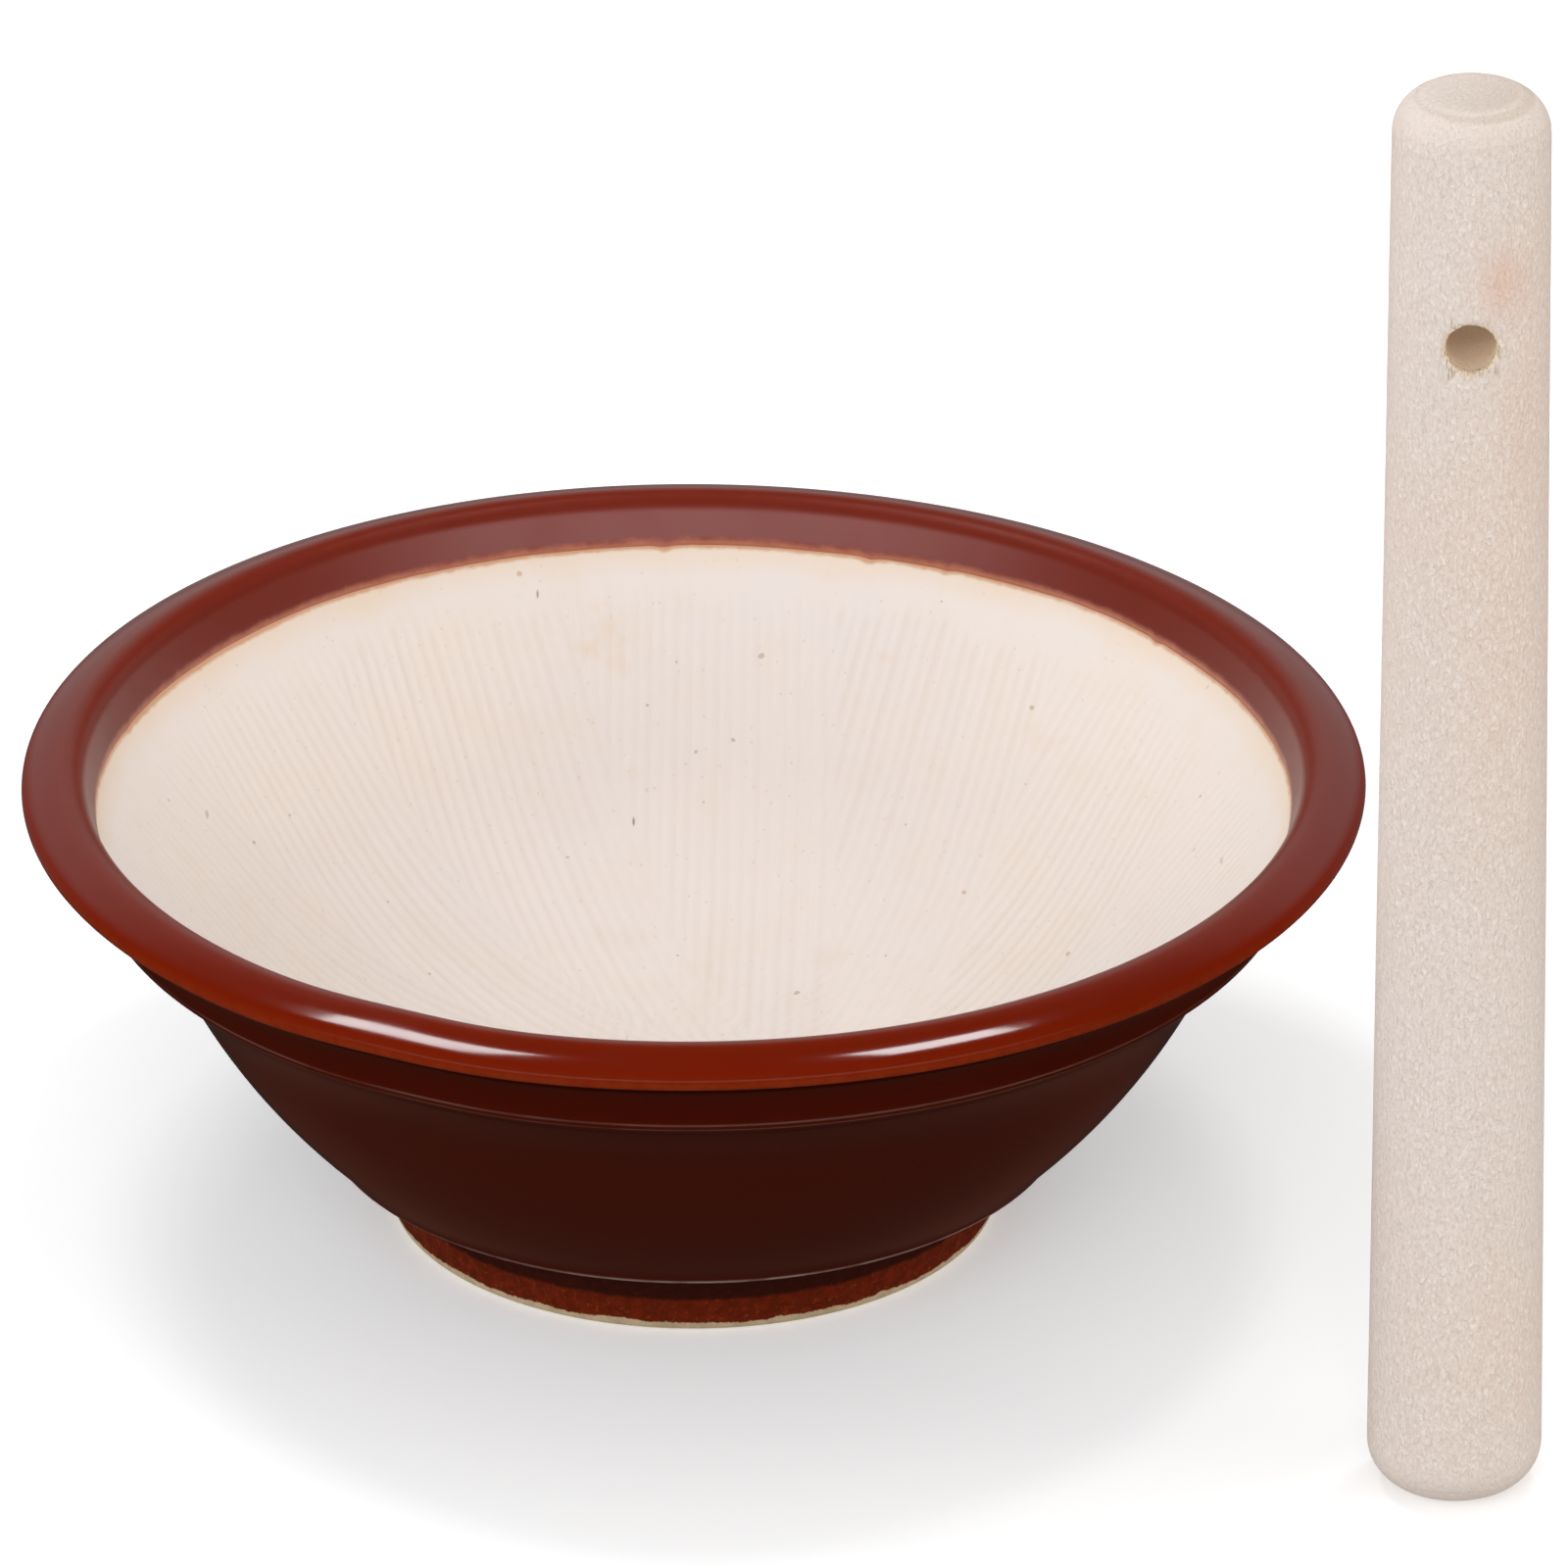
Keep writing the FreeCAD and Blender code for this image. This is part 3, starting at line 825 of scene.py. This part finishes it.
class BOWL_OT_pestle(bpy.types.Operator):
    """Turns the wooden pestle and drills its hanging hole"""

    bl_idname = "grinding_bowl.pestle"
    bl_label = "Wooden Pestle"

    def execute(self, context):
        settings = context.scene.bowl_pestle
        low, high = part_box("pestle")
        middle = (low + high) / 2
        points = section(PESTLE_SECTION, PESTLE_STEPS)
        piece = throw("turned_pestle", points, PESTLE_FACETS)
        face_outwards(piece)
        put_down()
        bpy.ops.mesh.primitive_cylinder_add(
            vertices=64, radius=settings.hole / 2, depth=60 * MM, location=(0, 0, HOLE_HEIGHT),
            rotation=(math.radians(90), 0, 0))
        drill = bpy.context.object
        bpy.ops.object.transform_apply(location=True, rotation=True, scale=True)
        take_up(piece)
        cutter = piece.modifiers.new("hanging_hole", "BOOLEAN")
        cutter.operation = "DIFFERENCE"
        cutter.solver = "EXACT"
        cutter.object = drill
        bpy.ops.object.modifier_apply(modifier=cutter.name)
        bpy.data.objects.remove(drill)
        skin = piece.modifiers.new("even_skin", "REMESH")
        skin.mode = "VOXEL"
        skin.voxel_size = SKIN_SIZE
        bpy.ops.object.modifier_apply(modifier=skin.name)
        co = corners_of(piece)
        from_axis = np.hypot(co[:, 0], co[:, 2] - HOLE_HEIGHT)
        in_hole = from_axis < settings.hole / 2 + 0.35 * MM
        co = self.true_up(co, in_hole)
        co, torn = self.tear_fibres(co, settings.hole / 2)
        # a lathe leaves the stick very slightly uneven
        angle = np.arctan2(co[:, 1], co[:, 0])
        shrink = 1 - 0.004 - 0.004 * np.sin(co[:, 2] / 0.021) * np.sin(2 * angle + 0.5)
        shrink -= 0.003 + 0.003 * np.sin(co[:, 2] / 0.047 + 1.0)
        local = co.copy()
        co[:, 0] *= shrink
        co[:, 1] *= shrink
        set_corners(piece, co)
        take_up(piece)
        piece.location = (middle.x, middle.y, low.z)
        bpy.ops.object.transform_apply(location=True, rotation=True, scale=True)
        bpy.ops.object.shade_smooth()
        mark(piece, "hole", in_hole)
        mark(piece, "torn", torn)
        peach = np.zeros(len(local))
        for across, height, half_width, half_height, strength in PEACH_PATCHES:
            gap = ((local[:, 0] - across) / half_width) ** 2 + ((local[:, 2] - height) / half_height) ** 2
            peach += strength * np.exp(-gap)
        mark(piece, "peach", peach * (local[:, 1] < 0))
        past_foot = smoothstep(5.5 * MM, 8.5 * MM, local[:, 2])
        past_top = smoothstep(234 * MM, 237 * MM, local[:, 2])
        mark(piece, "end_grain", 1 - past_foot * (1 - past_top))
        piece.data.materials.append(pale_turned_wood(tuple(settings.wood)))
        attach(piece, "pestle")
        # the glaze doesn't mirror the stick beside it
        piece.visible_glossy = False
        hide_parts("pestle")
        return {"FINISHED"}

    def true_up(self, co, in_hole):
        """Brings the skin back to the turned section, away from the hole."""
        radius = np.hypot(co[:, 0], co[:, 1])
        side = (co[:, 2] > 10 * MM) & (co[:, 2] < 232 * MM) & ~in_hole & (radius > 11 * MM)
        wanted = np.interp(co[:, 2], [SIDE_FOOT[1], SIDE_TOP[1]], [SIDE_FOOT[0], SIDE_TOP[0]])
        scale = np.where(side, wanted / np.maximum(radius, 1 * MM), 1)
        out = co.copy()
        out[:, 0] *= scale
        out[:, 1] *= scale
        return out

    def tear_fibres(self, co, hole):
        """Lifts and pits the wood at the hole's mouths, where the drill tore the grain."""
        across, up = co[:, 0], co[:, 2] - HOLE_HEIGHT
        around = np.arctan2(up, across)
        rng = np.random.default_rng(41)
        reach = np.full(len(co), 0.9 * MM)
        for _ in range(30):
            at = rng.uniform(0, FULL_TURN)
            long = rng.uniform(0.4, 2.2) * (0.5 + abs(math.sin(at)) * 0.5)
            away = np.angle(np.exp(1j * (around - at)))
            reach += long * MM * np.exp(-((away / rng.uniform(0.04, 0.12)) ** 2))
        past = np.hypot(across, up) - hole
        mouth = np.hypot(co[:, 0], co[:, 1]) > 11.2 * MM
        torn = mouth * smoothstep(1.0, 0.0, past / reach) * (past > -0.4 * MM)
        ragged = np.sin(around * 23 + 1.0) * np.sin(around * 41 + across / (0.4 * MM))
        lift = (0.12 * ragged - 0.22) * torn * MM
        out = co.copy()
        radius = np.hypot(co[:, 0], co[:, 1])
        out[:, 0] += co[:, 0] / radius * lift
        out[:, 1] += co[:, 1] / radius * lift
        return out, torn


# ---------------------------------------------------------------- the studio


def softbox(name, aim, direction, distance, size, power, colour):
    """An area light of that size, hung along a direction from the point it lights."""
    put_down()
    spot = Vector(aim) + Vector(direction).normalized() * distance
    bpy.ops.object.light_add(type="AREA", location=spot)
    light = bpy.context.object
    light.name = name
    light.data.shape = "RECTANGLE"
    light.data.size, light.data.size_y = size
    light.data.energy = power
    light.data.color = colour
    light.rotation_mode = "QUATERNION"
    light.rotation_quaternion = (spot - Vector(aim)).to_track_quat("Z", "Y")
    return light


class BOWL_OT_studio(bpy.types.Operator):
    """Lays the pale floor, hangs the softboxes and sets up the camera"""

    bl_idname = "grinding_bowl.studio"
    bl_label = "Studio"

    def execute(self, context):
        settings = context.scene.bowl_stage
        scene = context.scene
        scene.view_settings.view_transform = "Standard"
        self.camera(settings)
        self.floor(settings)
        self.surroundings(scene)
        for *facts, mirrored in LAMPS:
            softbox(*facts).visible_glossy = mirrored
        return {"FINISHED"}

    def camera(self, settings):
        aim = Vector(AIM)
        back = Vector((0, -math.cos(settings.tilt), math.sin(settings.tilt)))
        put_down()
        bpy.ops.object.camera_add(location=aim + back * settings.distance)
        camera = bpy.context.object
        camera.name = "camera"
        camera.rotation_mode = "QUATERNION"
        camera.rotation_quaternion = back.to_track_quat("Z", "Y")
        camera.data.sensor_width = SENSOR
        camera.data.lens = LENS_PER_METRE * settings.distance
        camera.data.clip_start, camera.data.clip_end = 0.05, 60
        bpy.context.scene.camera = camera

    def floor(self, settings):
        put_down()
        bpy.ops.mesh.primitive_plane_add(size=30, location=(0, 0, -0.0002))
        floor = bpy.context.object
        floor.name = "studio_floor"
        f = Finish("studio_floor")
        f.set(Base_Color=tuple(settings.floor), Roughness=0.9)
        f.shader.inputs["Specular IOR Level"].default_value = 0.1
        f.set(Emission_Color=(1, 1, 1), Emission_Strength=0.27)
        floor.data.materials.append(f.material)
        floor.visible_glossy = False
        floor.visible_diffuse = False

    def surroundings(self, scene):
        """A white room to the eye that lights the pieces softly and stays dark in the glaze."""
        world = bpy.data.worlds.new("studio_air")
        scene.world = world
        world.use_nodes = True
        world.node_tree.nodes.clear()
        air = Nodes(world.node_tree)
        air.place = air.node("ShaderNodeTexCoord").outputs["Generated"]
        y, z = air.parts_of_place()[1:]
        # the glaze mirrors a soft panel low in front, pale paper behind and a warm glow off the table
        panel = air.math("MULTIPLY", air.ramp(z, 0.0, 0.13), air.ramp(z, 0.24, 0.42, 1, 0))
        panel = air.math("MULTIPLY", panel, air.ramp(y, -0.85, -0.25, 1, 0))
        paper = air.math("ADD", air.ramp(z, -0.52, -0.36, 0, 0.5), air.ramp(z, -0.12, 0.08, 0, 0.5))
        paper = air.math("MULTIPLY", paper, air.ramp(z, 0.50, 0.85, 1, 0))
        paper = air.math("MULTIPLY", paper, air.ramp(y, 0.25, 0.70))
        mirrored = air.math("ADD", air.math("MULTIPLY", panel, 4.3), air.math("MULTIPLY", paper, 0.42))
        glow = air.mix(air.ramp(z, -0.75, -0.40, 1, 0), (0.012, 0.012, 0.012), (0.115, 0.038, 0.026))
        mirrored = air.mix(1.0, mirrored, glow, "ADD")
        rays = air.node("ShaderNodeLightPath")
        shades = []
        for colour, strength in (((1.0, 1.0, 1.0), 0.66), (mirrored, 1.0), ((1.0, 1.0, 1.0), 1.0)):
            shade = air.node("ShaderNodeBackground")
            air.feed(shade.inputs["Color"], colour)
            air.feed(shade.inputs["Strength"], strength)
            shades.append(shade.outputs[0])
        for ray, shade in (("Is Glossy Ray", shades[1]), ("Is Camera Ray", shades[2])):
            blend = air.node("ShaderNodeMixShader")
            air.feed(blend.inputs[0], rays.outputs[ray])
            air.feed(blend.inputs[1], shades[0])
            air.feed(blend.inputs[2], shade)
            shades[0] = blend.outputs[0]
        air.feed(air.node("ShaderNodeOutputWorld").inputs["Surface"], shades[0])


class BOWL_PT_sidebar(bpy.types.Panel):
    """Lists the pieces and the studio"""

    bl_idname = "BOWL_PT_sidebar"
    bl_label = "Grinding Bowl"
    bl_space_type = "VIEW_3D"
    bl_region_type = "UI"
    bl_category = "Grinding Bowl"

    def draw(self, context):
        for operator, group in SIDEBAR:
            box = self.layout.box()
            settings = getattr(context.scene, group)
            for key in settings.bl_rna.properties.keys():
                if key not in ("rna_type", "name"):
                    box.prop(settings, key)
            box.operator(operator.bl_idname)


SIDEBAR = [
    (BOWL_OT_stoneware, "bowl_clay"),
    (BOWL_OT_glaze, "bowl_glaze"),
    (BOWL_OT_pestle, "bowl_pestle"),
    (BOWL_OT_studio, "bowl_stage"),
]
GROUPS = {
    "bowl_clay": ClaySettings,
    "bowl_glaze": GlazeSettings,
    "bowl_pestle": PestleSettings,
    "bowl_stage": StageSettings,
}
CLASSES = [*GROUPS.values(), *[operator for operator, _ in SIDEBAR], BOWL_PT_sidebar]


def register():
    for each in CLASSES:
        bpy.utils.register_class(each)
    for name, group in GROUPS.items():
        setattr(bpy.types.Scene, name, bpy.props.PointerProperty(type=group))


def unregister():
    for name in GROUPS:
        delattr(bpy.types.Scene, name)
    for each in reversed(CLASSES):
        bpy.utils.unregister_class(each)


def main():
    register()
    bpy.ops.grinding_bowl.stoneware()
    bpy.ops.grinding_bowl.glaze()
    bpy.ops.grinding_bowl.pestle()
    bpy.ops.grinding_bowl.studio()


if __name__ == "__main__":
    main()
